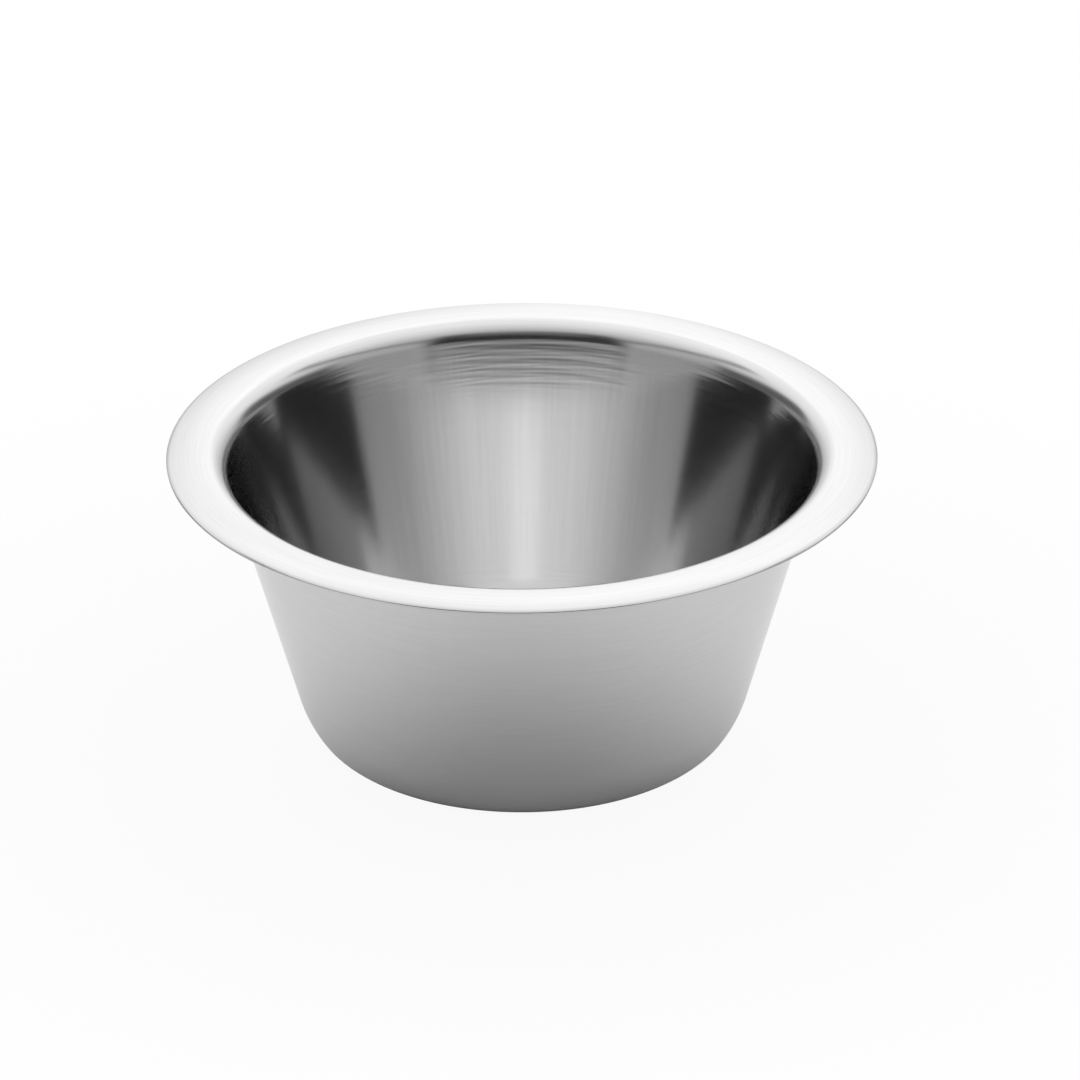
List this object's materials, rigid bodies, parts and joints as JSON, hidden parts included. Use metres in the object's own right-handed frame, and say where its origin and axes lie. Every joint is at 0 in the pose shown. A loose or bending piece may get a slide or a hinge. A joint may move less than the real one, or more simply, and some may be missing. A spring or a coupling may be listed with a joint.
{
  "type": "prep bowl",
  "caption": "Deep tapered round metal bowl with a flat base, a rounded lower corner, an open mouth and a wide flanged rim whose edge is turned down.",
  "frame": {"origin": "centre of the flat underside of the base, on the bowl's axis", "axes": "+Z along the bowl's axis towards the mouth, +X and +Y any two level directions at right angles, because the bowl is round"},
  "size_m": [0.16, 0.16, 0.069],
  "materials": {
    "satin_stainless": "stainless steel, satin, brushed round the axis inside and out, a little more matt on the rim"
  },
  "bodies": {
    "root": {"bowl_shell": "satin_stainless"}
  },
  "joints": []
}
